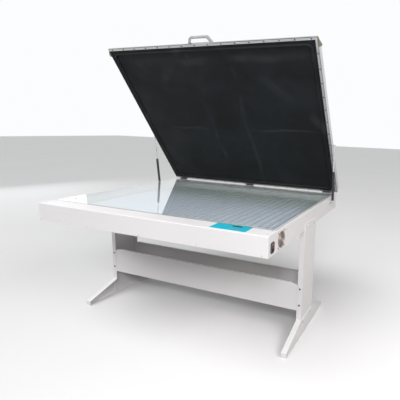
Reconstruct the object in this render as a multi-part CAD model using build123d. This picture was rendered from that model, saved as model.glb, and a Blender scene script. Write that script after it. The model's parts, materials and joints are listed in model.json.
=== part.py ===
from build123d import *
import os
from math import atan2, cos, degrees, hypot, radians, sin

# Exposure table with a hinged vacuum lid, on two T-shaped legs.
# X runs to the right, Y to the back and Z up. Everything is drawn in millimetres with Y = 0 on the
# middle of the case, then moved by CASE_Y so that the origin is on the floor under the whole object.

# ---- driving dimensions ----
CASE_W, CASE_D, CASE_H = 1600.0, 1435.0, 114.0   # outside of the lamp case
CASE_TOP = 848.0                                 # working height: the top of the glass
CASE_Y = -30.97                                  # where the middle of the case stands
STRIP = 118.0                                    # depth of the control strip in front of the glass
SHEET = 2.0                                      # steel sheet of the case
PLATE = 3.0                                      # steel plate of the legs
GLASS = 6.0                                      # thickness of the glass
TRIM = 10.0                                      # sheet rim beside and behind the glass
LEDGE = 20.0                                     # width of the ledge that the glass rests on
CLEAR = 0.5                                      # gap round a loose panel or the glass

LEG_DEPTH, LEG_WIDTH = 250.0, 32.0               # leg channel: along Y and along X
LEG_TAB = 41.0                                   # how far the leg overlaps the side of the case
FOOT_LENGTH, FOOT_HEIGHT, FOOT_TIP = 796.0, 115.0, 33.0
PANEL_LOW, PANEL_HIGH, PANEL_HALF = 182.0, 369.0, 790.0
PANEL_CORNER = 53.0

TUBES, TUBE_PITCH, TUBE_R, TUBE_WALL = 30, 51.5, 19.0, 2.0
TUBE_LENGTH, TUBE_Z = 1199.4, 762.0
HOLDER_DEPTH, HOLDER_HEIGHT = 22.0, 34.0

PIVOT_Y, PIVOT_Z = 730.5, 850.0                  # lid hinge axis, along X
LID_OPEN = 52.0                                  # how far the lid stands open
LID_W, LID_L, LID_REAR = 1606.0, 1322.0, 731.0   # lid outline, closed
RAIL_W, SIDE_RAIL_H, FRONT_RAIL_H, REAR_RAIL_H = 40.0, 52.0, 12.0, 40.0
LID_BASE = 862.0                                 # underside of the lid rails, closed
BLANKET = 3.0                                    # rubber sheet under the rails
STRIP_W, STRIP_T = 14.0, 2.0                     # bars that clamp the sheet
BEAD_W, BEAD_INSET = 14.0, 36.0                  # sealing bead on the sheet
BEAD_GAP = 0.4                                   # bead above the glass with the lid closed

HINGE_X, HINGE_W, BARREL_R, PIN_R = (-715.0, 0.0, 715.0), 76.0, 6.0, 3.0

STRUT_X = 822.0                                  # gas struts, outside both sides
STRUT_FOOT_Y, STRUT_FOOT_Z = 502.5, 815.0        # lower pivot, on the case
STRUT_LID_Y, STRUT_LID_Z = -494.0, 26.0          # upper pivot from the lid hinge, lid closed
STRUT_R, STRUT_BORE, ROD_R = 10.0, 8.5, 4.0
STRUT_BODY = 240.0                               # lower pivot to the cylinder's end
RUNNING = 0.05                                   # radial clearance of pins, rods and bores

PANEL_X0, PANEL_X1, PANEL_Y0, PANEL_Y1, PANEL_T = 455.0, 664.0, 14.0, 110.0, 2.5
BUTTON_X, BUTTON_Y, BUTTON_R = (567.0, 589.0, 611.0), 48.0, 7.0
DISPLAY = (556.0, 612.0, 80.0, 98.0)             # window: x from, x to, y from, y to

INLET_Y, INLET_Z, INLET_W, INLET_H = 50.0, 778.0, 48.0, 58.0
ROCKER_Z, SOCKET_Z, ROCKER_R = 792.0, 764.0, 8.4
FAN_Y, FAN_Z, FAN_SIZE, FAN_DEPTH, FAN_BORE = 172.0, 790.0, 92.0, 25.0, 43.0

# ---- derived places ----
FRONT, REAR = -CASE_D / 2, CASE_D / 2
SIDE = CASE_W / 2
BOTTOM = CASE_TOP - CASE_H
STRIP_TOP = CASE_TOP - 1.0
GLASS_FRONT = FRONT + STRIP
LID_FRONT = LID_REAR - LID_L
LID_SIDE = LID_W / 2
WALL_Y = FRONT + STRIP + 2.0                     # wall between controls and lamps
TUBE_FRONT = WALL_Y + SHEET + HOLDER_DEPTH + CLEAR
TUBE_REAR = TUBE_FRONT + TUBE_LENGTH

parts = {}


def block(x0, x1, y0, y1, z0, z1):
    """Box between two corners."""
    return Pos((x0 + x1) / 2, (y0 + y1) / 2, (z0 + z1) / 2) * Box(x1 - x0, y1 - y0, z1 - z0)


def bar_x(x0, x1, y, z, r):
    """Round bar along X."""
    return Pos((x0 + x1) / 2, y, z) * Rot(0, 90, 0) * Cylinder(r, x1 - x0)


def bar_y(y0, y1, x, z, r):
    """Round bar along Y."""
    return Pos(x, (y0 + y1) / 2, z) * Rot(90, 0, 0) * Cylinder(r, y1 - y0)


def bar_z(z0, z1, x, y, r):
    """Round bar along Z."""
    return Pos(x, y, (z0 + z1) / 2) * Cylinder(r, z1 - z0)


def head(r, h):
    """Domed screw head standing on the XY plane, with a hexagon socket."""
    dome = Pos(0, 0, h / 2) * Cylinder(r, h)
    dome = fillet(dome.edges().group_by(Axis.Z)[-1], h * 0.6)
    return dome - Pos(0, 0, h) * extrude(RegularPolygon(r * 0.45, 6), -h * 0.4)


def heads(r, h, turn, places):
    """Group of equal screw heads, each turned to stand on its face."""
    one = head(r, h)
    return Compound([Pos(*p) * Rot(*turn) * one for p in places])


TO_FRONT, TO_REAR, TO_RIGHT, TO_LEFT = (90, 0, 0), (-90, 0, 0), (0, 90, 0), (0, -90, 0)
UP, DOWN = (0, 0, 0), (180, 0, 0)


def mirrored(shape):
    """The same piece on the left side."""
    return mirror(shape, about=Plane.YZ)


def save(name, shape):
    """Keep a piece that belongs to the case or the legs."""
    parts[name] = Pos(0, CASE_Y, 0) * shape


def swung(shape):
    """Turn a piece drawn with the lid closed to where the open lid holds it."""
    return Pos(0, PIVOT_Y, PIVOT_Z) * Rot(-LID_OPEN, 0, 0) * Pos(0, -PIVOT_Y, -PIVOT_Z) * shape


def save_lid(name, shape):
    """Keep a piece of the lid."""
    save(name, swung(shape))


# ---- legs ----
def foot():
    """Tapered foot: a folded channel, open to the inside, with a notch for the leg."""
    half, leg = FOOT_LENGTH / 2, LEG_DEPTH / 2
    outline = [(-half, 0), (half, 0), (half, FOOT_TIP), (leg, FOOT_HEIGHT), (-leg, FOOT_HEIGHT), (-half, FOOT_TIP)]
    side = make_face(Polyline(*outline, close=True))
    inner = SIDE + PLATE - LEG_WIDTH
    solid = extrude(Plane.YZ.offset(inner) * side, LEG_WIDTH + PLATE)
    hollow = extrude(Plane.YZ.offset(inner - 1) * offset(side, -PLATE), LEG_WIDTH + 1)
    notch = block(inner - 1, SIDE + PLATE, -leg, leg, FOOT_HEIGHT / 2, FOOT_HEIGHT + 1)
    return solid - hollow - notch


def column():
    """Leg: a channel open to the inside, whose web runs up over the side of the case."""
    leg = LEG_DEPTH / 2
    web = block(SIDE, SIDE + PLATE, -leg, leg, PLATE, BOTTOM + LEG_TAB)
    web = fillet(web.edges().filter_by(Axis.X).group_by(Axis.Z)[-1], 8)
    inner = SIDE + PLATE - LEG_WIDTH
    for y0, y1 in ((-leg, -leg + PLATE), (leg - PLATE, leg)):
        web = web + block(inner, SIDE, y0, y1, FOOT_HEIGHT - PLATE, BOTTOM)
    return web


def cross_panel():
    """Sheet panel behind the front flanges of the legs, with a stiffening fold along its top."""
    height = PANEL_HIGH - PANEL_LOW
    sheet = Pos(0, (PANEL_LOW + PANEL_HIGH) / 2) * Rectangle(2 * PANEL_HALF, height)
    sheet = fillet(sheet.vertices().group_by(Axis.Y)[-1], PANEL_CORNER)
    front = -LEG_DEPTH / 2 + PLATE
    panel = extrude(Plane.XZ.offset(-front) * sheet, -SHEET)
    fold_half = PANEL_HALF - PANEL_CORNER - 2
    return panel + block(-fold_half, fold_half, front, front + 15, PANEL_HIGH - SHEET, PANEL_HIGH)


save("foot_right", foot())
save("foot_left", mirrored(foot()))
save("column_right", column())
save("column_left", mirrored(column()))
save("cross_panel_front", cross_panel())
save("cross_panel_rear", mirror(cross_panel(), about=Plane.XZ))

FLANGE_X = SIDE + PLATE - LEG_WIDTH / 2
FLANGE_Z = (222.0, 336.0)
leg_screws = [heads(6, 3.4, turn, [(x, y, z) for x in (-FLANGE_X, FLANGE_X) for z in FLANGE_Z])
              for turn, y in ((TO_FRONT, -LEG_DEPTH / 2), (TO_REAR, LEG_DEPTH / 2))]
save("column_screws", Compound([s for group in leg_screws for s in group.solids()]))


def side_bolts(x, ys, z, r, h):
    """Equal bolt heads on both outer sides."""
    right = heads(r, h, TO_RIGHT, [(x, y, z) for y in ys])
    left = heads(r, h, TO_LEFT, [(-x, y, z) for y in ys])
    return Compound(list(right.solids()) + list(left.solids()))


save("foot_bolts", side_bolts(SIDE + 2 * PLATE, (-85, 85), 92, 8, 4.5))
save("case_bolts", side_bolts(SIDE + PLATE, (-49, 49), BOTTOM + 15, 8, 4.5))


# ---- case ----
def case_tray():
    """Bottom sheet with the rear wall and its rim folded up from it."""
    half = SIDE - SHEET
    floor = block(-half, half, FRONT + SHEET, REAR, BOTTOM, BOTTOM + SHEET)
    wall = block(-half, half, REAR - SHEET, REAR, BOTTOM, CASE_TOP)
    rim = block(-half + TRIM, half - TRIM, REAR - TRIM, REAR, CASE_TOP - SHEET, CASE_TOP)
    drop = block(-half + TRIM, half - TRIM, REAR - TRIM, REAR - TRIM + SHEET, CASE_TOP - GLASS - SHEET, CASE_TOP)
    edge = REAR - TRIM - LEDGE
    ledge_z = CASE_TOP - GLASS
    ledge = block(-half + TRIM + LEDGE, half - TRIM - LEDGE, edge, REAR - TRIM, ledge_z - SHEET, ledge_z)
    return floor + wall + rim + drop + ledge


def front_cover():
    """Front face and control strip in one folded sheet, with a ledge for the glass behind."""
    half = SIDE
    face = block(-half, half, FRONT, GLASS_FRONT, BOTTOM, STRIP_TOP)
    face = fillet(face.edges().filter_by(Axis.X).group_by(Axis.Z)[-1].sort_by(Axis.Y)[0], 4)
    inside = block(-half - 1, half + 1, FRONT + SHEET, GLASS_FRONT + 1, BOTTOM - 1, STRIP_TOP - SHEET)
    inner = half - TRIM - LEDGE - SHEET
    ledge_z = CASE_TOP - GLASS
    drop = block(-inner, inner, GLASS_FRONT - SHEET, GLASS_FRONT, ledge_z - SHEET, STRIP_TOP)
    ledge = block(-inner, inner, GLASS_FRONT - SHEET, GLASS_FRONT + LEDGE, ledge_z - SHEET, ledge_z)
    return face - inside + drop + ledge


def side_sheet():
    """Right side sheet with its rim and the ledge for the glass."""
    x1, ledge_z = SIDE, CASE_TOP - GLASS
    wall = block(x1 - SHEET, x1, FRONT + SHEET, REAR, BOTTOM, STRIP_TOP - SHEET)
    wall = wall + block(x1 - SHEET, x1, GLASS_FRONT, REAR, STRIP_TOP - SHEET, CASE_TOP)
    rim_x = x1 - TRIM
    rim = block(rim_x, x1, GLASS_FRONT, REAR - SHEET, CASE_TOP - SHEET, CASE_TOP)
    drop = block(rim_x, rim_x + SHEET, GLASS_FRONT, REAR - TRIM, ledge_z - SHEET, CASE_TOP)
    ledge = block(rim_x - LEDGE, rim_x + SHEET, GLASS_FRONT + CLEAR, REAR - TRIM, ledge_z - SHEET, ledge_z)
    return wall + rim + drop + ledge


def side_panel_right():
    """Right side with the holes for the power inlet and the fan."""
    y_in, y_fan = FRONT + INLET_Y, FRONT + FAN_Y
    hole = block(SIDE - 5, SIDE + 1, y_in - INLET_W / 2 + 2, y_in + INLET_W / 2 - 2,
                 INLET_Z - INLET_H / 2 + 2, INLET_Z + INLET_H / 2 - 2)
    return side_sheet() - hole - bar_x(SIDE - 5, SIDE + 1, y_fan, FAN_Z, FAN_BORE + 1)


def trimmed_sheet(sheet):
    """Free the side sheet's corners from the front cover and the rear rim."""
    return sheet - block(-SIDE, SIDE, FRONT - 1, FRONT + SHEET, BOTTOM - 1, CASE_TOP + 1)


def glass_plate():
    """Glass between the rims, with a hole for the vacuum port."""
    half = SIDE - TRIM - CLEAR
    plate = block(-half, half, GLASS_FRONT + CLEAR, REAR - TRIM - CLEAR, CASE_TOP - GLASS, CASE_TOP)
    return plate - bar_z(CASE_TOP - GLASS - 1, CASE_TOP + 1, PORT_X, PORT_Y, 6.2)


PORT_X, PORT_Y = -732.0, FRONT + 222.0
save("side_panel_right", trimmed_sheet(side_panel_right()))
save("side_panel_left", mirrored(trimmed_sheet(side_sheet())))
save("case_tray", case_tray())
save("front_cover", front_cover())
save("glass_plate", glass_plate())


# ---- lamps ----
def group(one, places):
    """Equal separate solids at several places."""
    return Compound([Pos(*p) * one for p in places])


def lamp_parts():
    """Fluorescent tubes, their caps and their holders, side by side across the case."""
    xs = [(i - (TUBES - 1) / 2) * TUBE_PITCH for i in range(TUBES)]
    cap = 12.0
    tube = bar_y(TUBE_FRONT + cap, TUBE_REAR - cap, 0, TUBE_Z, TUBE_R)
    tube = tube - bar_y(TUBE_FRONT, TUBE_REAR, 0, TUBE_Z, TUBE_R - TUBE_WALL)
    front_cap = bar_y(TUBE_FRONT, TUBE_FRONT + cap, 0, TUBE_Z, TUBE_R)
    rear_cap = bar_y(TUBE_REAR - cap, TUBE_REAR, 0, TUBE_Z, TUBE_R)
    low = TUBE_Z - HOLDER_HEIGHT / 2 + 2
    front = block(-11, 11, WALL_Y + SHEET, WALL_Y + SHEET + HOLDER_DEPTH, low, low + HOLDER_HEIGHT)
    rear_y = TUBE_REAR + CLEAR
    rear = block(-11, 11, rear_y, rear_y + HOLDER_DEPTH, low, low + HOLDER_HEIGHT)
    save("uv_tubes", group(tube, [(x, 0, 0) for x in xs]))
    caps = [group(c, [(x, 0, 0) for x in xs]) for c in (front_cap, rear_cap)]
    save("tube_caps", Compound([s for g in caps for s in g.solids()]))
    holders = [group(h, [(x, 0, 0) for x in xs]) for h in (front, rear)]
    save("lamp_holders", Compound([s for g in holders for s in g.solids()]))


def lamp_rail_rear():
    """Angle that carries the rear lamp holders."""
    y = TUBE_REAR + CLEAR + HOLDER_DEPTH
    half = SIDE - 32
    return (block(-half, half, y, y + SHEET, BOTTOM + SHEET, TUBE_Z + 24)
            + block(-half, half, y, y + 20, BOTTOM + SHEET, BOTTOM + 2 * SHEET))


def reflector():
    """White sheet under the tubes."""
    half = SIDE - 32
    y1 = TUBE_REAR + CLEAR + HOLDER_DEPTH - CLEAR
    return block(-half, half, WALL_Y + SHEET + CLEAR, y1, BOTTOM + SHEET + 1, BOTTOM + SHEET + 2)


def compartment_wall():
    """Wall between the control compartment and the lamps, with a hole for the vacuum pipe."""
    half = SIDE - 32
    wall = block(-half, half, WALL_Y, WALL_Y + SHEET, BOTTOM + SHEET, CASE_TOP - GLASS - SHEET - 1)
    return wall - bar_y(WALL_Y - 1, WALL_Y + SHEET + 1, PORT_X, PIPE_Z, 5.3)


PIPE_Z = 824.0
lamp_parts()
save("lamp_rail_rear", lamp_rail_rear())
save("reflector", reflector())
save("compartment_wall", compartment_wall())


# ---- control compartment ----
def vacuum_pump():
    """Small diaphragm pump: motor, crank case and head with its nipple."""
    y = FRONT + 62
    motor = bar_x(-640, -560, y, 778, 30)
    crank = block(-692, -640, y - 32, y + 32, BOTTOM + SHEET + 6, 806)
    pump_head = block(-756, -692, y - 36, y + 36, 752, 812)
    nipple = bar_z(812, PIPE_Z - 6, PORT_X, y, 4)
    feet = block(-690, -580, y - 30, y + 30, BOTTOM + SHEET, BOTTOM + SHEET + 8)
    return motor + crank + pump_head + nipple + feet


def vacuum_pipe():
    """Pipe from the pump over the wall to the port in the glass."""
    y0 = FRONT + 62
    run = bar_y(y0 - 6, PORT_Y + 5, PORT_X, PIPE_Z, 5)
    down = bar_z(PIPE_Z - 6, PIPE_Z, PORT_X, y0, 4)
    rise = bar_z(PIPE_Z, CASE_TOP - GLASS - 2, PORT_X, PORT_Y, 4)
    return run + down + rise


def vacuum_port():
    """Flanged port that sits in the hole of the glass."""
    stem = bar_z(CASE_TOP - GLASS - 2, CASE_TOP + 1.2, PORT_X, PORT_Y, 6)
    flange = bar_z(CASE_TOP, CASE_TOP + 1.2, PORT_X, PORT_Y, 10)
    return stem + flange - bar_z(CASE_TOP - GLASS - 3, CASE_TOP + 2, PORT_X, PORT_Y, 3)


def ballasts():
    """Electronic ballasts in a row along the compartment."""
    one = block(-110, 110, FRONT + 40, FRONT + 90, BOTTOM + SHEET, BOTTOM + SHEET + 34)
    return group(one, [(-400 + 245 * i, 0, 0) for i in range(5)])


def control_board():
    """Circuit board under the control panel, on four posts."""
    z = STRIP_TOP - 22
    x0, x1, y0, y1 = PANEL_X0 + 10, PANEL_X1 - 10, FRONT + 20, FRONT + 104
    board = block(x0, x1, y0, y1, z, z + 1.6)
    chip = block(x0 + 60, x0 + 90, y0 + 20, y0 + 50, z - 4, z)
    for x in (x0 + 8, x1 - 8):
        for y in (y0 + 8, y1 - 8):
            board = board + bar_z(z, STRIP_TOP - SHEET, x, y, 3)
    return board + chip


save("vacuum_pump", vacuum_pump())
save("vacuum_pipe", vacuum_pipe())
save("vacuum_port", vacuum_port())
save("ballasts", ballasts())
save("control_board", control_board())


# ---- controls ----
def control_panel():
    """Control panel on the strip, with a window and holes for three buttons."""
    z0, z1 = STRIP_TOP, STRIP_TOP + PANEL_T
    plate = block(PANEL_X0, PANEL_X1, FRONT + PANEL_Y0, FRONT + PANEL_Y1, z0, z1)
    plate = fillet(plate.edges().filter_by(Axis.Z), 5)
    x0, x1, y0, y1 = DISPLAY
    plate = plate - block(x0, x1, FRONT + y0, FRONT + y1, z0 - 1, z1 + 1)
    for x in BUTTON_X:
        plate = plate - bar_z(z0 - 1, z1 + 1, x, FRONT + BUTTON_Y, BUTTON_R + 0.3)
    return plate


def button(x):
    """Round push button, standing a little proud of the panel."""
    cap = bar_z(STRIP_TOP + 0.9, STRIP_TOP + PANEL_T + 0.8, x, FRONT + BUTTON_Y, BUTTON_R)
    return fillet(cap.edges().group_by(Axis.Z)[-1], 0.6)


def display_window():
    """Dark window set in the control panel."""
    x0, x1, y0, y1 = DISPLAY
    gap = 0.2
    z0 = STRIP_TOP
    return block(x0 + gap, x1 - gap, FRONT + y0 + gap, FRONT + y1 - gap, z0, z0 + PANEL_T - 0.2)


save("control_panel", control_panel())
save("display_window", display_window())
for name, x in zip(("button_set", "button_start", "button_stop"), BUTTON_X):
    save(name, button(x))


# ---- power inlet ----
def power_inlet():
    """Inlet module: flange with cut corners, body, socket and the opening for the rocker."""
    y = FRONT + INLET_Y
    face = Pos(y, INLET_Z) * Rectangle(INLET_W, INLET_H)
    face = chamfer(face.vertices(), 9)
    flange = extrude(Plane.YZ.offset(SIDE) * face, PLATE)
    body = block(SIDE - 26, SIDE, y - INLET_W / 2 + 2.2, y + INLET_W / 2 - 2.2,
                 INLET_Z - INLET_H / 2 + 2.2, INLET_Z + INLET_H / 2 - 2.2)
    socket = block(SIDE - 14, SIDE + 4, y - 12.2, y + 12.2, SOCKET_Z - 8.3, SOCKET_Z + 8.3)
    socket = chamfer(socket.edges().filter_by(Axis.X).group_by(Axis.Z)[0], 3)
    well = block(SIDE - 13, SIDE + 4, y - 11, y + 11, ROCKER_Z - ROCKER_R - 0.3, ROCKER_Z + ROCKER_R + 0.3)
    return flange + body - socket - well


def inlet_pins():
    """Three flat contact pins on the socket's floor."""
    y = FRONT + INLET_Y
    spots = ((-7, -2), (0, 2), (7, -2))
    pins = [block(SIDE - 14, SIDE - 3, y + a - 1, y + a + 1, SOCKET_Z + b - 2, SOCKET_Z + b + 2) for a, b in spots]
    return Compound(pins)


def rocker_switch():
    """Rocker: a round back that turns in its well, with two flats meeting over the axle."""
    y = FRONT + INLET_Y
    axle_x = SIDE - 3
    body = bar_y(y - 10.5, y + 10.5, axle_x, ROCKER_Z, ROCKER_R)
    for sign in (-1, 1):
        flat = Pos(0, 0, sign * 10) * Box(8, 30, 20)
        flat = Pos(axle_x + 10.5, y, ROCKER_Z) * Rot(0, -sign * 8 + 8, 0) * flat
        body = body - flat
    return body


save("power_inlet", power_inlet())
save("inlet_pins", inlet_pins())
save("rocker_switch", rocker_switch())


# ---- fan ----
def fan_frame():
    """Square fan frame with a round duct, and a motor seat on three spokes."""
    y, x0, x1 = FRONT + FAN_Y, SIDE - SHEET - FAN_DEPTH, SIDE - SHEET
    half = FAN_SIZE / 2
    frame = block(x0, x1, y - half, y + half, FAN_Z - half, FAN_Z + half)
    frame = fillet(frame.edges().filter_by(Axis.X), 5)
    frame = frame - bar_x(x0 - 1, x1 + 1, y, FAN_Z, FAN_BORE)
    frame = frame + bar_x(x0, x0 + 3, y, FAN_Z, 18) + bar_x(x0, x0 + 9, y, FAN_Z, 1.5)
    for turn in (90, 210, 330):
        spoke = Pos(x0 + 1.5, y, FAN_Z) * Rot(turn, 0, 0) * Pos(0, 31, 0) * Box(3, 30, 4)
        frame = frame + spoke
    return frame


def fan_rotor():
    """Hub with seven pitched blades, turning about X."""
    y, x0, x1 = FRONT + FAN_Y, SIDE - SHEET - FAN_DEPTH + 4, SIDE - SHEET - 4
    hub = bar_x(x0, x1, y, FAN_Z, 18)
    hub = fillet(hub.edges().group_by(Axis.X)[-1], 2)
    hub = hub - bar_x(x0 - 1, x0 + 6, y, FAN_Z, 1.5 + RUNNING)
    middle = (x0 + x1) / 2
    for i in range(7):
        blade = Pos(0, 29.5, 0) * Rot(0, 40, 0) * Box(2.2, 24, 20)
        hub = hub + Pos(middle, y, FAN_Z) * Rot(360 / 7 * i, 0, 0) * blade
    return hub


def fan_guard():
    """Wire guard outside the fan opening: four spokes with an eye each, and rings welded over them."""
    y, wire, spoke = FRONT + FAN_Y, 1.5, 1.3
    middle = Pos(SIDE + wire, y, FAN_Z) * Rot(0, 90, 0)
    reach, inner, eye = 82.5 / 2 * 2 ** 0.5, 8.0, 4.2
    length = reach - eye - inner
    guard = middle * Pos(0, 0, 1.7) * Torus(inner, wire)
    for r in (17, 26, 35, 43.5):
        guard = guard + middle * Pos(0, 0, 1.7) * Torus(r, wire)
        if r == 17:
            for turn in (45, 135, 225, 315):
                guard = guard + middle * Rot(0, 0, turn) * Pos(inner + length / 2, 0, 0) * Rot(0, 90, 0) * Cylinder(spoke, length)
    for turn in (45, 135, 225, 315):
        guard = guard + middle * Rot(0, 0, turn) * Pos(reach, 0, 0) * Torus(eye, wire)
    return guard


save("fan_frame", fan_frame())
save("fan_rotor", fan_rotor())
save("fan_guard", fan_guard())


# ---- case screws ----
def case_screws():
    """Small screw heads on the front, sides, strip and hinge leaves."""
    r, h = 3.6, 1.8
    found = list(heads(r, h, TO_FRONT, [(x, FRONT, BOTTOM + 9) for x in (-786, -393, 0, 384, 766)]).solids())
    for y in (-464, -111, 257, 625):
        found += heads(r, h, TO_RIGHT, [(SIDE, y, CASE_TOP - 23)]).solids()
        found += heads(r, h, TO_LEFT, [(-SIDE, y, CASE_TOP - 23)]).solids()
    strip = [(x, FRONT + y, STRIP_TOP) for x in (-777, 777) for y in (40, 100)]
    found += heads(r, h, UP, strip).solids()
    leaf = [(x + dx, REAR + PLATE, z) for x in HINGE_X for dx in (-26, 26) for z in (805, 830)]
    found += heads(r, h, TO_REAR, leaf).solids()
    return Compound(found)


save("case_screws", case_screws())


# ---- lid, drawn closed ----
def hollow_rail(x0, x1, y0, y1, height):
    """Rectangular aluminium tube, closed at both ends."""
    wall = 2.5
    outer = block(x0, x1, y0, y1, LID_BASE, LID_BASE + height)
    return outer - block(x0 + wall, x1 - wall, y0 + wall, y1 - wall, LID_BASE + wall, LID_BASE + height - wall)


def side_rail():
    """Right rail: a high tube whose free end is cut down to the height of the front rail."""
    wall, x0, x1 = 2.5, LID_SIDE - RAIL_W, LID_SIDE
    y0, y1, top, low = LID_FRONT, LID_REAR, LID_BASE + SIDE_RAIL_H, LID_BASE + FRONT_RAIL_H
    points = [(y0, LID_BASE), (y1, LID_BASE), (y1, top), (y0 + 90, top), (y0, low)]
    outline = make_face(Polyline(*points, close=True))
    outer = extrude(Plane.YZ.offset(x0) * outline, x1 - x0)
    return outer - extrude(Plane.YZ.offset(x0 + wall) * offset(outline, -wall), x1 - x0 - 2 * wall)


def blanket_sheet():
    """Rubber sheet that closes the lid frame from below."""
    inset = 1.0
    side, low = LID_SIDE - inset, LID_BASE - BLANKET
    return block(-side, side, LID_FRONT + inset, LID_REAR - inset, low, LID_BASE)


def ring(inset, width, radius, z0, z1):
    """Flat ring with round corners inside the lid outline."""
    w, l = LID_W - 2 * inset, LID_L - 2 * inset
    middle = (LID_FRONT + LID_REAR) / 2
    outer = RectangleRounded(w, l, radius)
    inner = RectangleRounded(w - 2 * width, l - 2 * width, radius - width)
    return Pos(0, middle, z0) * extrude(outer - inner, z1 - z0)


def clamp_strip(x0, x1, y0, y1):
    """Flat bar that clamps the edge of the sheet."""
    z1 = LID_BASE - BLANKET
    return block(x0, x1, y0, y1, z1 - STRIP_T, z1)


INSET = 2.0                                      # clamp bars in from the rails' outer faces
STRIP_X, STRIP_Y0, STRIP_Y1 = LID_SIDE - INSET, LID_FRONT + INSET, LID_REAR - INSET
SCREWS_ACROSS, SCREWS_ALONG = 16, 13

save_lid("lid_rail_right", side_rail())
save_lid("lid_rail_left", mirrored(side_rail()))
INNER = LID_SIDE - RAIL_W
save_lid("lid_rail_front", hollow_rail(-INNER, INNER, LID_FRONT, LID_FRONT + RAIL_W, FRONT_RAIL_H))
save_lid("lid_rail_rear", hollow_rail(-INNER, INNER, LID_REAR - RAIL_W, LID_REAR, REAR_RAIL_H))
save_lid("rubber_blanket", blanket_sheet())
save_lid("seal_bead", ring(BEAD_INSET, BEAD_W, 40, CASE_TOP + BEAD_GAP, LID_BASE - BLANKET))
save_lid("clamp_strip_front", clamp_strip(-STRIP_X, STRIP_X, STRIP_Y0, STRIP_Y0 + STRIP_W))
save_lid("clamp_strip_rear", clamp_strip(-STRIP_X, STRIP_X, STRIP_Y1 - STRIP_W, STRIP_Y1))
strip_right = clamp_strip(STRIP_X - STRIP_W, STRIP_X, STRIP_Y0 + STRIP_W, STRIP_Y1 - STRIP_W)
save_lid("clamp_strip_right", strip_right)
save_lid("clamp_strip_left", mirrored(strip_right))


def clamp_screws():
    """Screw heads along the clamp bars, and on the lid leaves of the hinges."""
    z = LID_BASE - BLANKET - STRIP_T
    xs = [-STRIP_X + 38 + (2 * STRIP_X - 76) * i / (SCREWS_ACROSS - 1) for i in range(SCREWS_ACROSS)]
    ys = [STRIP_Y0 + (STRIP_Y1 - STRIP_Y0) * i / SCREWS_ALONG for i in range(1, SCREWS_ALONG)]
    mid = STRIP_W / 2
    places = [(x, y, z) for x in xs for y in (STRIP_Y0 + mid, STRIP_Y1 - mid)]
    places += [(x, y, z) for y in ys for x in (-STRIP_X + mid, STRIP_X - mid)]
    found = list(heads(4.5, 2.0, DOWN, places).solids())
    leaf = [(x + dx, LID_REAR + PLATE, z) for x in HINGE_X for dx in (-26, 26) for z in (872, 892)]
    found += heads(3.6, 1.8, TO_REAR, leaf).solids()
    return Compound(found)


save_lid("clamp_screws", clamp_screws())


def handle():
    """Bow handle on the free edge: a bent strap whose legs lean out, closed by a base plate."""
    foot_half, top_half, height, thick, width = 95.0, 68.0, 48.0, 10.0, 22.0
    lean = (foot_half - top_half) / height
    outer = make_face(Polyline((-foot_half, 0), (foot_half, 0), (top_half, -height), (-top_half, -height), close=True))
    outer = fillet(outer.vertices().group_by(Axis.Y)[0], 12)
    inner_foot, reach = foot_half - thick * 1.15 - 3 * lean, height - thick
    inner_top = inner_foot - (reach - 3) * lean
    corners = ((-inner_foot, -3), (inner_foot, -3), (inner_top, -reach), (-inner_top, -reach))
    inner = make_face(Polyline(*corners, close=True))
    inner = fillet(inner.vertices().group_by(Axis.Y)[0], 6)
    return Pos(0, LID_FRONT, LID_BASE - 10) * extrude(outer - inner, width)


def handle_screws():
    """Four screw heads on the handle's base plate."""
    z = LID_BASE + 1
    return heads(2.8, 1.8, TO_FRONT, [(x, LID_FRONT - 3, z) for x in (-66, -22, 22, 66)])


save_lid("handle", handle())
save_lid("handle_screws", handle_screws())


def lid_catch():
    """Plated angle on the side rail near the free end, with a sloping lug."""
    x0 = LID_SIDE
    y0 = LID_FRONT + 6
    plate = block(x0, x0 + 2, y0, y0 + 60, LID_BASE + 2, LID_BASE + 11)
    points = [(x0, y0), (x0 + 20, y0 + 40), (x0 + 20, y0 + 52), (x0, y0 + 60)]
    lug = extrude(Pos(0, 0, LID_BASE + 2) * make_face(Polyline(*points, close=True)), 3)
    return plate + lug


save_lid("lid_catches", Compound([lid_catch(), mirrored(lid_catch())]))


# ---- hinges ----
def case_leaf():
    """Hinge leaf on the rear of the case, with the two outer knuckles."""
    half, gap = HINGE_W / 2, 19.5
    leaf = block(-half, half, REAR, REAR + PLATE, 792, 847)
    for x0, x1 in ((-half, -gap), (gap, half)):
        leaf = leaf + bar_x(x0, x1, PIVOT_Y, PIVOT_Z, BARREL_R)
        leaf = leaf + block(x0, x1, REAR, PIVOT_Y, PIVOT_Z - BARREL_R, PIVOT_Z - BARREL_R + PLATE)
    return leaf - bar_x(-half - 1, half + 1, PIVOT_Y, PIVOT_Z, PIN_R + RUNNING)


def lid_leaf():
    """Hinge leaf on the rear of the lid, with the middle knuckle."""
    half, gap = HINGE_W / 2, 19.1
    leaf = block(-half, half, LID_REAR, LID_REAR + PLATE, LID_BASE, LID_BASE + 38)
    leaf = leaf + bar_x(-gap, gap, PIVOT_Y, PIVOT_Z, BARREL_R)
    leaf = leaf + block(-gap, gap, LID_REAR, LID_REAR + PLATE, PIVOT_Z, LID_BASE)
    return leaf - bar_x(-gap - 1, gap + 1, PIVOT_Y, PIVOT_Z, PIN_R + RUNNING)


def hinge_pin():
    """Pin with a head at each end."""
    half = HINGE_W / 2
    pin = bar_x(-half - 2.5, half + 2.5, PIVOT_Y, PIVOT_Z, PIN_R)
    for x0, x1 in ((-half - 2.5, -half), (half, half + 2.5)):
        pin = pin + bar_x(x0, x1, PIVOT_Y, PIVOT_Z, PIN_R + 1.5)
    return pin


hinge_places = [(x, 0, 0) for x in HINGE_X]
save("hinge_leaves_case", group(case_leaf(), hinge_places))
save("hinge_pins", group(hinge_pin(), hinge_places))
save_lid("hinge_leaves_lid", group(lid_leaf(), hinge_places))


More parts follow.
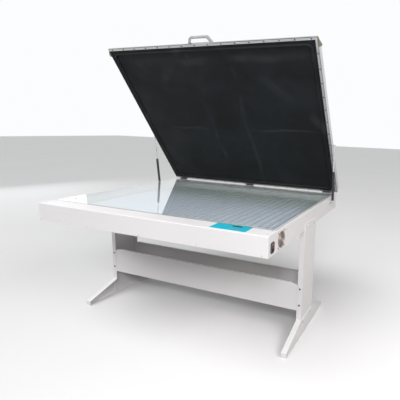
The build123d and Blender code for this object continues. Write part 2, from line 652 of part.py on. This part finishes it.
# ---- gas struts ----
turn = radians(LID_OPEN)
LID_BALL_Y = PIVOT_Y + STRUT_LID_Y * cos(turn) + STRUT_LID_Z * sin(turn)
LID_BALL_Z = PIVOT_Z - STRUT_LID_Y * sin(turn) + STRUT_LID_Z * cos(turn)
STRUT_OPEN = hypot(LID_BALL_Y - STRUT_FOOT_Y, LID_BALL_Z - STRUT_FOOT_Z)
STRUT_LEAN = degrees(atan2(STRUT_FOOT_Y - LID_BALL_Y, LID_BALL_Z - STRUT_FOOT_Z))
closed_y = PIVOT_Y + STRUT_LID_Y - STRUT_FOOT_Y
closed_z = PIVOT_Z + STRUT_LID_Z - STRUT_FOOT_Z
STRUT_CLOSED = hypot(closed_y, closed_z)
STRUT_SWING = degrees(atan2(-closed_y, closed_z)) - STRUT_LEAN
EYE_HALF, EYE_R = 7.0, 8.0


def leaned(shape, side):
    """Stand a strut piece, drawn up from the origin, on its lower pivot."""
    return Pos(side * STRUT_X, STRUT_FOOT_Y, STRUT_FOOT_Z) * Rot(STRUT_LEAN, 0, 0) * shape


def strut_cylinder():
    """Cylinder with its lower eye, an open chamber and the guide at the rod's end."""
    tube = bar_z(14, STRUT_BODY, 0, 0, STRUT_R)
    tube = fillet(tube.edges().group_by(Axis.Z)[-1], 2)
    tube = tube - bar_z(20, STRUT_BODY - 6, 0, 0, STRUT_BORE)
    tube = tube - bar_z(STRUT_BODY - 7, STRUT_BODY + 1, 0, 0, ROD_R + RUNNING)
    eye = bar_x(-EYE_HALF, EYE_HALF, 0, 0, EYE_R) + bar_z(4, 14.5, 0, 0, 6)
    return tube + eye - bar_x(-EYE_HALF - 1, EYE_HALF + 1, 0, 0, 4 + RUNNING)


def strut_rod():
    """Rod with its piston and the upper eye, which stays just clear of the lid's stud."""
    piston_z = STRUT_BODY - 17
    rod = bar_z(piston_z, STRUT_OPEN - 4, 0, 0, ROD_R) + bar_z(piston_z, piston_z + 8, 0, 0, STRUT_BORE - RUNNING)
    socket = bar_z(STRUT_OPEN - 24, STRUT_OPEN - 4, 0, 0, 6)
    return rod + socket + bar_x(-EYE_HALF, EYE_HALF, 0, STRUT_OPEN, EYE_R)


def case_stud():
    """Plate and stud on the case side for the lower eye."""
    plate = block(SIDE, SIDE + 2.5, STRUT_FOOT_Y - 12, STRUT_FOOT_Y + 12, STRUT_FOOT_Z - 12, STRUT_FOOT_Z + 12)
    plate = fillet(plate.edges().filter_by(Axis.X), 4)
    y, z = STRUT_FOOT_Y, STRUT_FOOT_Z
    return plate + bar_x(SIDE, STRUT_X + EYE_HALF + 1, y, z, 4) + bar_x(STRUT_X + EYE_HALF + 0.4, STRUT_X + EYE_HALF + 3, y, z, 6)


def lid_stud():
    """Plate and short stud on the lid rail for the upper eye, lid closed."""
    y, z = PIVOT_Y + STRUT_LID_Y, PIVOT_Z + STRUT_LID_Z
    plate = block(LID_SIDE, LID_SIDE + 2.5, y - 20, y + 20, LID_BASE + 4, LID_BASE + 28)
    plate = fillet(plate.edges().filter_by(Axis.X), 5)
    return plate + bar_x(LID_SIDE, STRUT_X - EYE_HALF - 0.6, y, z, 6)


for side, name in ((1, "right"), (-1, "left")):
    save("strut_cylinder_" + name, leaned(strut_cylinder(), side))
    save("strut_rod_" + name, leaned(strut_rod(), side))
save("strut_studs_case", Compound([case_stud(), mirrored(case_stud())]))
save_lid("strut_studs_lid", Compound([lid_stud(), mirrored(lid_stud())]))

# ---- write the pieces ----
os.makedirs("parts", exist_ok=True)
for name, shape in parts.items():
    export_step(shape, os.path.join("parts", name + ".step"))

whole = Compound([s for shape in parts.values() for s in shape.solids()]).bounding_box()
print("nodes", len(parts), "box", whole.min, whole.max)
print("lid hinge y z", PIVOT_Y + CASE_Y, PIVOT_Z)
print("strut lean", STRUT_LEAN, "swing", STRUT_SWING, "open", STRUT_OPEN, "closed", STRUT_CLOSED)
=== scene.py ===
import json
from math import cos, pi, radians, sin

import bmesh
import bpy
from mathutils import Matrix, Vector, noise


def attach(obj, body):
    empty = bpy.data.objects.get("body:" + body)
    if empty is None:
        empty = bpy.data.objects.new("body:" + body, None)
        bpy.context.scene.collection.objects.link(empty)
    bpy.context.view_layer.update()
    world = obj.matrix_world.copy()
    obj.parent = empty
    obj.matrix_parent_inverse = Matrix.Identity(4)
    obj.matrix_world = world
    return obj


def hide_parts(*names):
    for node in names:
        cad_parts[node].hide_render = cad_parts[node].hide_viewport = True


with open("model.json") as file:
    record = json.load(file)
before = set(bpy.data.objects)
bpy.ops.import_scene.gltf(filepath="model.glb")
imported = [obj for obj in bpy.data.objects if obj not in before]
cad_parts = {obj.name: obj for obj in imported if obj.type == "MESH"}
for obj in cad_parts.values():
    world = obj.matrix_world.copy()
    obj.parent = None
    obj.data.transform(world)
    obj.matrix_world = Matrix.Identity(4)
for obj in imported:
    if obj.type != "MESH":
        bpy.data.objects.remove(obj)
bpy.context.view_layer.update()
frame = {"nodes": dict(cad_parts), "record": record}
nodes = frame["nodes"]
joints = {j["name"]: j for j in frame["record"]["behaviour"]["joints"]}

# ---- the lid's own frame, read from its hinge: ALONG runs to the free edge, OUT from its lower face ----
PIVOT = Vector(joints["lid_hinge"]["pos_m"])
OPEN = radians(joints["lid_hinge"]["range_deg"][1])
ALONG = Vector((0, -cos(OPEN), sin(OPEN)))
OUT = Vector((0, -sin(OPEN), -cos(OPEN)))
LID_LENGTH, LID_HALF = 1.322, 0.803
BEHIND_HINGE = 0.0005                    # how far the lid's rear edge lies behind the hinge axis
BLANKET_LOW, BLANKET_HIGH = 0.009, 0.012   # both faces of the sheet, above the hinge axis


def lid_point(x, along, up):
    """Point on the open lid: along is from the hinge axis, up is from its level away from the glass."""
    return PIVOT + ALONG * along - OUT * up + Vector((x, 0, 0))


def lid_limits(inset):
    """Rectangle set in from the lid's outline: half width, rear end and front end."""
    return LID_HALF - inset, inset - BEHIND_HINGE, LID_LENGTH - inset - BEHIND_HINGE


# ---- camera ----
CAMERA_PLACE = (1.4735, -2.3853, 1.3656)
CAMERA_TURN, CAMERA_DOWN, CAMERA_ROLL = 22.12, 11.01, 1.91   # degrees
CAMERA_LENS, CAMERA_SHIFT = 34.13, (-0.179, 0.004)


def make_camera():
    """Camera at a standing person's height, in front and to the right, framed to the side."""
    azimuth, down, roll = radians(CAMERA_TURN), radians(CAMERA_DOWN), radians(CAMERA_ROLL)
    forward = Vector((-sin(azimuth) * cos(down), cos(azimuth) * cos(down), -sin(down)))
    right = Vector((cos(azimuth), sin(azimuth), 0))
    up = right.cross(forward)
    tilted_right = right * cos(roll) + up * sin(roll)
    tilted_up = up * cos(roll) - right * sin(roll)
    turn = Matrix((tilted_right, tilted_up, -forward)).transposed()
    lens = bpy.data.cameras.new("camera")
    lens.sensor_width, lens.lens = 36.0, CAMERA_LENS
    lens.shift_x, lens.shift_y = CAMERA_SHIFT
    lens.clip_end = 100
    camera = bpy.data.objects.new("camera", lens)
    camera.matrix_world = Matrix.Translation(CAMERA_PLACE) @ turn.to_4x4()
    bpy.context.collection.objects.link(camera)
    bpy.context.scene.camera = camera


make_camera()


# ---- materials ----
class Paint:
    """A node material under construction, with one Principled shader."""

    def __init__(self, name, color, rough=0.5, metal=0.0):
        self.mat = bpy.data.materials.new(name)
        self.mat.use_nodes = True
        self.tree = self.mat.node_tree
        self.shader = self.tree.nodes["Principled BSDF"]
        self.shader.inputs["Base Color"].default_value = (*color, 1)
        self.shader.inputs["Roughness"].default_value = rough
        self.shader.inputs["Metallic"].default_value = metal
        self.color, self.bumps = color, None
        self.mat.diffuse_color = (*color, 1)

    def node(self, kind, **inputs):
        made = self.tree.nodes.new("ShaderNode" + kind)
        for key, value in inputs.items():
            made.inputs[key.replace("_", " ")].default_value = value
        return made

    def link(self, a, b):
        self.tree.links.new(a, b)

    def coords(self, scale=(1, 1, 1), turn=(0, 0, 0)):
        """Object coordinates in metres, scaled and turned."""
        place = self.node("TexCoord")
        mapping = self.node("Mapping")
        mapping.inputs["Scale"].default_value = scale
        mapping.inputs["Rotation"].default_value = turn
        self.link(place.outputs["Object"], mapping.inputs["Vector"])
        return mapping.outputs["Vector"]

    def noise(self, scale, detail=3.0, stretch=(1, 1, 1), turn=(0, 0, 0), distortion=0.0):
        made = self.node("TexNoise", Scale=scale, Detail=detail, Distortion=distortion)
        self.link(self.coords(stretch, turn), made.inputs["Vector"])
        return made.outputs["Fac"]

    def ramp(self, value, low, high, dark, light):
        """Colour between dark and light as value goes from low to high."""
        made = self.node("ValToRGB")
        made.color_ramp.elements[0].position = low
        made.color_ramp.elements[1].position = high
        made.color_ramp.elements[0].color = (*dark, 1)
        made.color_ramp.elements[1].color = (*light, 1)
        self.link(value, made.inputs["Fac"])
        return made.outputs["Color"]

    def mottle(self, scale, amount, stretch=(1, 1, 1), turn=(0, 0, 0), low=0.3, high=0.7):
        """Base colour varies by amount to each side."""
        dark = [c * (1 - amount) for c in self.color]
        light = [min(1, c * (1 + amount)) for c in self.color]
        made = self.ramp(self.noise(scale, 4, stretch, turn), low, high, dark, light)
        self.link(made, self.shader.inputs["Base Color"])
        return self

    def roughen(self, scale, low, high, stretch=(1, 1, 1), turn=(0, 0, 0)):
        """Roughness varies between low and high."""
        made = self.node("MapRange", To_Min=low, To_Max=high)
        self.link(self.noise(scale, 4, stretch, turn), made.inputs["Value"])
        self.link(made.outputs["Result"], self.shader.inputs["Roughness"])
        return self

    def bump(self, height, strength, distance):
        made = self.node("Bump", Strength=strength, Distance=distance)
        self.link(height, made.inputs["Height"])
        if self.bumps:
            self.link(self.bumps, made.inputs["Normal"])
        self.bumps = made.outputs["Normal"]
        self.link(self.bumps, self.shader.inputs["Normal"])
        return self

    def grain(self, scale, strength, distance=0.0004, stretch=(1, 1, 1), turn=(0, 0, 0)):
        return self.bump(self.noise(scale, 3, stretch, turn), strength, distance)

    def set(self, **sockets):
        for key, value in sockets.items():
            self.shader.inputs[key.replace("_", " ")].default_value = value
        return self


def powder_coat():
    """White powder coat: orange-peel bump and a slight variation of tone and gloss."""
    p = Paint("powder_coat_white", (0.80, 0.785, 0.79), 0.42)
    p.mottle(2.2, 0.018).roughen(9, 0.36, 0.50)
    p.grain(900, 0.10, 0.0002).grain(160, 0.05, 0.0004)
    return p.set(Specular_IOR_Level=0.45).mat


def lid_axis(p, direction, start):
    """How far a point of the lid lies from start along a direction, as a socket."""
    place, dot, less = p.node("TexCoord"), p.node("VectorMath"), p.node("Math")
    dot.operation, less.operation = "DOT_PRODUCT", "SUBTRACT"
    p.link(place.outputs["Object"], dot.inputs[0])
    dot.inputs[1].default_value = direction
    p.link(dot.outputs["Value"], less.inputs[0])
    less.inputs[1].default_value = direction.dot(PIVOT) + start
    return less.outputs["Value"]


def crease(p, direction, start, width, wander, scale):
    """A faint line across the sheet that wanders and fades in and out: 1 on it, 0 beside it."""
    shift = p.node("MapRange", To_Min=-wander, To_Max=wander)
    p.link(p.noise(2.6, 4), shift.inputs["Value"])
    line, size = p.node("Math"), p.node("Math")
    line.operation, size.operation = "ADD", "ABSOLUTE"
    p.link(lid_axis(p, direction, start), line.inputs[0])
    p.link(shift.outputs["Result"], line.inputs[1])
    p.link(line.outputs["Value"], size.inputs[0])
    near = p.node("MapRange", From_Min=0.0, From_Max=width, To_Min=1.0, To_Max=0.0)
    near.interpolation_type = "SMOOTHERSTEP"
    p.link(size.outputs["Value"], near.inputs["Value"])
    patchy = p.node("MapRange", From_Min=0.44, From_Max=0.66)
    p.link(p.noise(scale * 1.6, 8), patchy.inputs["Value"])
    both = p.node("Math")
    both.operation = "MULTIPLY"
    p.link(near.outputs["Result"], both.inputs[0])
    p.link(patchy.outputs["Result"], both.inputs[1])
    return both.outputs["Value"]


def rubber_sheet():
    """Black rubber: fine cloth-like moulding, drifts of painted sheen, and painted highlights along the
    lines where it lay folded.
    """
    p = Paint("rubber_black", (0.0075, 0.009, 0.011), 0.62)
    across, along = Vector((1, 0, 0)), ALONG
    folds = (   # direction, start, width, wander, scale
        (across, -0.13, 0.026, 0.05, 3.1),
        (across, 0.16, 0.03, 0.07, 2.3),
        (along, 0.62, 0.018, 0.03, 2.9),
        (along, 1.20, 0.050, 0.030, 2.0),
        ((across + along).normalized(), 1.02, 0.07, 0.04, 1.6),
        ((across - along).normalized(), -1.05, 0.06, 0.04, 1.9))
    lines = None
    for fold in folds:
        one = crease(p, *fold)
        if lines is not None:
            more = p.node("Math")
            more.operation = "MAXIMUM"
            p.link(lines, more.inputs[0])
            p.link(one, more.inputs[1])
            one = more.outputs["Value"]
        lines = one
    # Painted sheen: cloudy lighter and darker drifts in the rubber's colour.
    painted_sheen = p.ramp(p.noise(3.4, 9, distortion=0.9), 0.36, 0.70,
                   (0.0035, 0.0045, 0.0058), (0.0120, 0.0145, 0.0170))
    # Painted highlight: lighter colour along the fold lines, where the creases catch the light.
    crease_highlight = p.node("Mix")
    crease_highlight.data_type = "RGBA"
    faint = p.node("MapRange", To_Max=0.85)
    p.link(lines, faint.inputs["Value"])
    p.link(faint.outputs["Result"], crease_highlight.inputs["Factor"])
    p.link(painted_sheen, crease_highlight.inputs[6])
    crease_highlight.inputs[7].default_value = (0.034, 0.038, 0.042, 1)
    p.link(crease_highlight.outputs[2], p.shader.inputs["Base Color"])
    p.roughen(5, 0.58, 0.80)
    for turn in ((0, 0, 0), (0, 0, pi / 2)):
        weave = p.node("TexWave", Scale=420, Distortion=0.4, Detail=1.0)
        p.link(p.coords((1, 1, 1), turn), weave.inputs["Vector"])
        p.bump(weave.outputs["Fac"], 0.10, 0.0002)
    p.grain(60, 0.12, 0.0012)
    return p.set(Specular_IOR_Level=0.26).mat


def satin_aluminium(name, color, stretch, rough=0.34):
    """Extruded aluminium with fine draw lines along the profile."""
    p = Paint(name, color, rough, 1.0)
    p.mottle(5, 0.06).roughen(140, rough - 0.08, rough + 0.10, stretch)
    return p.grain(420, 0.10, 0.0002, stretch).mat


def metal(name, color, rough, scale=60):
    """Turned, plated or bent metal with a small-scale variation of tone and gloss."""
    p = Paint(name, color, rough, 1.0)
    p.mottle(scale, 0.08).roughen(scale * 1.7, rough - 0.07, rough + 0.08)
    return p.grain(scale * 9, 0.06, 0.0001).mat


def moulded(name, color, rough=0.42, spark=500, strength=0.12):
    """Moulded or painted surface with a fine spark-eroded grain."""
    p = Paint(name, color, rough)
    p.mottle(25, 0.07).roughen(70, rough - 0.06, rough + 0.08)
    return p.grain(spark, strength, 0.0002).mat


def pane():
    """Clear greenish glass that lets light through to the lamps and the reflector under it."""
    p = Paint("float_glass", (0.92, 0.97, 0.95), 0.0)
    p.set(Transmission_Weight=1.0, IOR=1.5, Specular_IOR_Level=0.5)
    clear = p.node("BsdfTransparent")
    clear.inputs["Color"].default_value = (0.95, 0.98, 0.97, 1)
    ray, either, mix = p.node("LightPath"), p.node("Math"), p.node("MixShader")
    either.operation = "MAXIMUM"
    p.link(ray.outputs["Is Shadow Ray"], either.inputs[0])
    p.link(ray.outputs["Is Diffuse Ray"], either.inputs[1])
    p.link(either.outputs[0], mix.inputs["Fac"])
    p.link(p.shader.outputs["BSDF"], mix.inputs[1])
    p.link(clear.outputs["BSDF"], mix.inputs[2])
    p.link(mix.outputs["Shader"], p.tree.nodes["Material Output"].inputs["Surface"])
    return p.mat


# Painted shade: a grey laid over the rear of the lamps, reflector and lamp ends, standing in for the lid's
# shade and the reflections in the glass there.
REAR_SHADE, REAR_SHADE_FROM, REAR_SHADE_TO = (0.57, 0.61, 0.61), 0.12, 0.46   # colour, and Y where it starts and ends


def paint_rear_shade(p):
    """Painted shade: colour goes over to a grey towards the rear of the lamp case."""
    place, parts = p.node("TexCoord"), p.node("SeparateXYZ")
    p.link(place.outputs["Object"], parts.inputs["Vector"])
    depth = p.node("MapRange", From_Min=REAR_SHADE_FROM, From_Max=REAR_SHADE_TO)
    p.link(parts.outputs["Y"], depth.inputs["Value"])
    color = p.ramp(depth.outputs["Result"], 0.0, 1.0, p.color, REAR_SHADE)
    p.link(color, p.shader.inputs["Base Color"])
    return p


def phosphor():
    """White phosphor inside a glass tube, with painted shade greying it towards the rear end."""
    p = Paint("phosphor_tube", (0.72, 0.738, 0.845), 0.55)
    return paint_rear_shade(p).roughen(20, 0.5, 0.6).set(Specular_IOR_Level=0.3).mat


def shade_darkened_reflector():
    """Dull sheet behind the tubes, coloured darker than they are: painted shade in the gaps between the
    tubes.
    """
    p = Paint("reflector_sheet", (0.34, 0.36, 0.42), 0.55)
    return paint_rear_shade(p).roughen(12, 0.5, 0.62).set(Specular_IOR_Level=0.3).mat


def lamp_end(name, rough):
    """Painted sheet and moulded holders at the lamps' ends, with painted shade greying them at the rear."""
    p = Paint(name, (0.66, 0.66, 0.64), rough)
    return paint_rear_shade(p).roughen(40, rough - 0.05, rough + 0.07).grain(300, 0.05, 0.0002).mat


def panel_film():
    """Printed control film: teal with a fine texture and a slow change of tone."""
    p = Paint("control_film", (0.024, 0.50, 0.65), 0.38)
    p.mottle(18, 0.08).roughen(40, 0.32, 0.46)
    return p.grain(1500, 0.10, 0.0001).set(Coat_Weight=0.2, Coat_Roughness=0.25).mat


def tinted_window():
    """Dark glossy window over the display."""
    p = Paint("tinted_window", (0.02, 0.012, 0.014), 0.12)
    return p.mottle(60, 0.2).roughen(30, 0.08, 0.2).set(Coat_Weight=0.5, Coat_Roughness=0.04).mat


def circuit():
    """Green solder resist with fine tracks."""
    p = Paint("solder_resist", (0.02, 0.12, 0.05), 0.35)
    return p.mottle(180, 0.35, (1, 4, 1)).grain(250, 0.2, 0.0002).mat


WHITE = powder_coat()
RUBBER = rubber_sheet()
# Painted light and shade: besides their draw lines, the across and along copies of the same aluminium carry
# different tones for how light falls on each side of the lid.
ALU_X = satin_aluminium("aluminium_across", (0.52, 0.52, 0.52), (0.03, 1, 1))
ALU_Y = satin_aluminium("aluminium_along", (0.60, 0.595, 0.59), (1, 0.05, 0.05))
STRIP_X = satin_aluminium("clamp_bar_across", (0.60, 0.595, 0.59), (0.03, 1, 1), 0.4)
STRIP_Y = satin_aluminium("clamp_bar_along", (0.50, 0.495, 0.49), (1, 0.05, 0.05), 0.4)
# Painted dark reflection: the left clamp bar is the same aluminium as the other bars, coloured near black.
STRIP_REFLECTING_DARK = satin_aluminium("clamp_bar_painted_dark_reflection", (0.035, 0.036, 0.04), (1, 0.05, 0.05), 0.5)
SCREW = metal("black_oxide_screw", (0.05, 0.05, 0.055), 0.4)
ZINC = metal("zinc_plate", (0.55, 0.55, 0.56), 0.33)
YELLOW_ZINC = metal("yellow_zinc", (0.33, 0.27, 0.20), 0.42)
BRIGHT = metal("bright_chrome", (0.72, 0.72, 0.74), 0.16)
WIRE = metal("guard_wire", (0.36, 0.315, 0.28), 0.42)
HANDLE = metal("handle_satin", (0.46, 0.455, 0.45), 0.33, 40)
BRASS = metal("turned_brass", (0.60, 0.45, 0.22), 0.28)
BLACK = moulded("black_satin_paint", (0.017, 0.017, 0.020), 0.36, 300, 0.06)
BLACK_PLASTIC = moulded("black_moulding", (0.024, 0.024, 0.028), 0.46)
REFLECTOR = shade_darkened_reflector()
FAN = moulded("fan_moulding", (0.22, 0.19, 0.165), 0.4)
GLASS = pane()
TUBE = phosphor()
TEAL = panel_film()
WINDOW = tinted_window()
PINK = moulded("button_mauve", (0.42, 0.13, 0.36), 0.4)
GREEN = moulded("button_green", (0.11, 0.36, 0.15), 0.4)
RED = moulded("button_red", (0.50, 0.06, 0.09), 0.4)
ROCKER = moulded("rocker_red", (0.42, 0.02, 0.03), 0.3, 700, 0.05)
DARK_PAINT = moulded("dark_motor_paint", (0.04, 0.042, 0.05), 0.5)
HOSE = moulded("hose_black", (0.02, 0.02, 0.022), 0.6)
HOLDER = lamp_end("lamp_holder_white", 0.45)
END_RAIL = lamp_end("end_rail_paint", 0.5)
BOARD = circuit()

LOOKS = {
    WHITE: "foot_left foot_right column_left column_right cross_panel_front cross_panel_rear "
           "case_tray front_cover side_panel_left side_panel_right compartment_wall ballasts",
    HOLDER: "lamp_holders",
    END_RAIL: "lamp_rail_rear",
    ZINC: "foot_bolts case_bolts case_screws handle_screws inlet_pins strut_studs_case "
          "strut_studs_lid",
    GLASS: "glass_plate",
    REFLECTOR: "reflector tube_caps",
    TUBE: "uv_tubes",
    DARK_PAINT: "vacuum_pump",
    HOSE: "vacuum_pipe",
    BRASS: "vacuum_port",
    BOARD: "control_board",
    TEAL: "control_panel",
    WINDOW: "display_window",
    PINK: "button_set",
    GREEN: "button_start",
    RED: "button_stop",
    ROCKER: "rocker_switch",
    BLACK_PLASTIC: "power_inlet",
    FAN: "fan_frame fan_rotor",
    BRIGHT: "hinge_pins strut_rod_left strut_rod_right",
    WIRE: "fan_guard",
    BLACK: "hinge_leaves_case hinge_leaves_lid strut_cylinder_left strut_cylinder_right",
    ALU_X: "lid_rail_front lid_rail_rear",
    ALU_Y: "lid_rail_left lid_rail_right",
    STRIP_X: "clamp_strip_front clamp_strip_rear",
    STRIP_Y: "clamp_strip_right",
    STRIP_REFLECTING_DARK: "clamp_strip_left",
    SCREW: "clamp_screws column_screws",
    YELLOW_ZINC: "lid_catches",
    HANDLE: "handle",
    RUBBER: "rubber_blanket seal_bead",
}
for material, names in LOOKS.items():
    for name in names.split():
        mesh = nodes[name].data
        mesh.materials.clear()
        mesh.materials.append(material)


def repaint(name, material, wanted):
    """Second material on the faces of a CAD piece whose middle is wanted."""
    mesh = nodes[name].data
    mesh.materials.append(material)
    for face in mesh.polygons:
        if wanted(face.center):
            face.material_index = 1


STRUT_EYE = 0.0165   # the plated eye at each cylinder's lower end reaches this far from its pivot
for side in ("left", "right"):
    pivot = Vector(joints["strut_swing_" + side]["pos_m"])
    repaint("strut_cylinder_" + side, ZINC, lambda c, pivot=pivot: (c - pivot).length < STRUT_EYE)


def soften(names, width, segments=2, angle=35):
    """Small rounded edges on folded sheet, tube and moulded pieces."""
    for name in names.split():
        edge = nodes[name].modifiers.new("edges", "BEVEL")
        edge.width, edge.segments = width, segments
        edge.limit_method, edge.angle_limit = "ANGLE", radians(angle)
        edge.use_clamp_overlap = True
        edge.harden_normals = True


soften("foot_left foot_right column_left column_right cross_panel_front cross_panel_rear", 0.0011)
soften("front_cover side_panel_left side_panel_right case_tray", 0.0007)
soften("lid_rail_front lid_rail_rear lid_rail_left lid_rail_right", 0.0012)
soften("handle", 0.0022, 3)
soften("clamp_strip_front clamp_strip_rear clamp_strip_left clamp_strip_right", 0.0006)
soften("power_inlet rocker_switch control_panel display_window glass_plate lid_catches", 0.0005)
soften("hinge_leaves_case hinge_leaves_lid", 0.0006)


# ---- meshes made here ----
def piece(name, bm, material, body):
    """Mesh object from a bmesh, in the shared frame, riding on a body."""
    mesh = bpy.data.meshes.new(name)
    bmesh.ops.recalc_face_normals(bm, faces=bm.faces)
    bm.to_mesh(mesh)
    bm.free()
    mesh.materials.append(material)
    for face in mesh.polygons:
        face.use_smooth = True
    made = bpy.data.objects.new(name, mesh)
    bpy.context.collection.objects.link(made)
    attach(made, body)
    return made


FLAT_BORDER, BORDER_FADE = 0.035, 0.12   # flat rim of the sheet, and how soon its waves are full


def ripple(x, along):
    """How far the stretched sheet stands off its plane: shallow waves, none at its clamped edge."""
    edge = min(LID_HALF - FLAT_BORDER - abs(x), along - FLAT_BORDER, LID_LENGTH - FLAT_BORDER - along)
    free = max(0.0, min(1.0, edge / BORDER_FADE))
    free = free * free * (3 - 2 * free)
    drape = noise.noise(Vector((x * 2.1, along * 2.4, 0.7)))
    swag = sin(9.0 * x + 5.0 * abs(x) * along) * max(0.0, along - 0.5)
    pull = noise.noise(Vector((x * 5.5 + along * 3.0, along * 2.2, 3.1)))
    return free * (0.0060 * drape + 0.0028 * swag + 0.0030 * pull)


def blanket():
    """Rubber sheet with two faces and a rim, stretched under the lid frame."""
    bm = bmesh.new()
    columns, rows = 160, 132
    wide, first, last = lid_limits(0.001)
    grids = []
    for up in (BLANKET_LOW, BLANKET_HIGH):
        grid = []
        for j in range(rows + 1):
            along = first + (last - first) * j / rows
            row = []
            for i in range(columns + 1):
                x = -wide + 2 * wide * i / columns
                row.append(bm.verts.new(lid_point(x, along, up + ripple(x, along))))
            grid.append(row)
        grids.append(grid)
    low, high = grids
    for grid in grids:
        for j in range(rows):
            for i in range(columns):
                bm.faces.new((grid[j][i], grid[j][i + 1], grid[j + 1][i + 1], grid[j + 1][i]))
    for j in range(rows):
        for i in (0, columns):
            bm.faces.new((low[j][i], low[j + 1][i], high[j + 1][i], high[j][i]))
    for i in range(columns):
        for j in (0, rows):
            bm.faces.new((low[j][i], low[j][i + 1], high[j][i + 1], high[j][i]))
    made = piece("blanket_sheet", bm, RUBBER, "lid")
    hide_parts("rubber_blanket")


def bead():
    """Moulded sealing bead: a rounded lip swept round a rectangle with round corners."""
    radius, steps = 0.033, 8
    wide, first, last = lid_limits(0.043)
    root = BLANKET_LOW + 0.0003
    profile = (   # across the bead, and above the hinge axis
        (-0.0085, root), (-0.0070, 0.0065), (-0.0058, 0.0035), (-0.0046, 0.0004), (-0.0022, -0.0012),
        (0.0022, -0.0012), (0.0046, 0.0004), (0.0058, 0.0035), (0.0070, 0.0065), (0.0085, root))
    path = []
    for k, (sx, sy) in enumerate(((1, 1), (-1, 1), (-1, -1), (1, -1))):
        cx = sx * (wide - radius)
        cy = (last - radius) if sy > 0 else (first + radius)
        for i in range(steps + 1):
            a = (k + i / steps) * pi / 2
            path.append((cx, cy, cos(a), sin(a)))
    bm = bmesh.new()
    rings = []
    for cx, cy, dx, dy in path:
        rings.append([bm.verts.new(lid_point(cx + dx * (radius + s), cy + dy * (radius + s), up))
                      for s, up in profile])
    for a, b in zip(rings, rings[1:] + rings[:1]):
        for i in range(len(profile)):
            n = (i + 1) % len(profile)
            bm.faces.new((a[i], b[i], b[n], a[n]))
    made = piece("blanket_bead", bm, RUBBER, "lid")
    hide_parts("seal_bead")


blanket()
bead()


# ---- stage and light ----
def floor():
    """Pale floor: bright to the eye and in reflections, darker in the light that it throws back."""
    bm = bmesh.new()
    half = 30
    corners = ((-half, -half, 0), (half, -half, 0), (half, half, 0), (-half, half, 0))
    bm.faces.new([bm.verts.new(c) for c in corners])
    mesh = bpy.data.meshes.new("floor")
    bm.to_mesh(mesh)
    bm.free()
    p = Paint("pale_floor", (0.82, 0.82, 0.82), 0.8)
    p.mottle(0.8, 0.01).grain(40, 0.02, 0.0005)
    dim, ray, mix = p.node("BsdfDiffuse"), p.node("LightPath"), p.node("MixShader")
    dim.inputs["Color"].default_value = (0.30, 0.295, 0.29, 1)
    p.link(ray.outputs["Is Diffuse Ray"], mix.inputs["Fac"])
    p.link(p.shader.outputs["BSDF"], mix.inputs[1])
    p.link(dim.outputs["BSDF"], mix.inputs[2])
    p.link(mix.outputs["Shader"], p.tree.nodes["Material Output"].inputs["Surface"])
    mesh.materials.append(p.mat)
    made = bpy.data.objects.new("floor", mesh)
    bpy.context.collection.objects.link(made)


def lamp(name, place, target, size, power, color):
    """Rectangular area light, aimed at a target and not seen itself."""
    data = bpy.data.lights.new(name, "AREA")
    data.shape, data.size, data.size_y = "RECTANGLE", size[0], size[1]
    data.energy, data.color = power, color
    made = bpy.data.objects.new(name, data)
    made.visible_camera = False
    made.location = place
    made.rotation_euler = (Vector(target) - Vector(place)).to_track_quat("-Z", "Y").to_euler()
    bpy.context.collection.objects.link(made)


floor()
# name, place, target, size, power, colour
lamp("fill", (4.8, -2.4, 3.8), (0, 0, 0.7), (3.0, 2.5), 178, (1.0, 0.96, 0.935))
lamp("front", (3.0, -6.6, 4.9), (0, 0, 0.5), (2.4, 1.6), 290, (0.985, 0.975, 1.0))
lamp("window", (-6.2, 2.3, 2.4), (0, 0, 1.0), (3.4, 3.4), 40, (0.96, 0.98, 1.0))

sun = bpy.data.objects.new("key", bpy.data.lights.new("key", "SUN"))
sun.data.energy, sun.data.angle = 1.7, radians(50)
sun.rotation_euler = Vector((2.2, 3.4, -6)).to_track_quat("-Z", "Y").to_euler()
bpy.context.collection.objects.link(sun)


def studio():
    """White studio walls: full brightness to the eye and in reflections, dimmer as light."""
    world = bpy.data.worlds.new("studio")
    world.use_nodes = True
    tree = world.node_tree
    ray, either = tree.nodes.new("ShaderNodeLightPath"), tree.nodes.new("ShaderNodeMath")
    soft, bright = tree.nodes["Background"], tree.nodes.new("ShaderNodeBackground")
    mix = tree.nodes.new("ShaderNodeMixShader")
    for back, strength in ((soft, 0.18), (bright, 1.0)):
        back.inputs["Color"].default_value = (0.97, 0.98, 1.0, 1)
        back.inputs["Strength"].default_value = strength
    either.operation = "MAXIMUM"
    tree.links.new(ray.outputs["Is Camera Ray"], either.inputs[0])
    tree.links.new(ray.outputs["Is Glossy Ray"], either.inputs[1])
    tree.links.new(either.outputs[0], mix.inputs["Fac"])
    tree.links.new(soft.outputs[0], mix.inputs[1])
    tree.links.new(bright.outputs[0], mix.inputs[2])
    tree.links.new(mix.outputs[0], tree.nodes["World Output"].inputs["Surface"])
    bpy.context.scene.world = world


studio()
bpy.context.scene.view_settings.view_transform = "Standard"
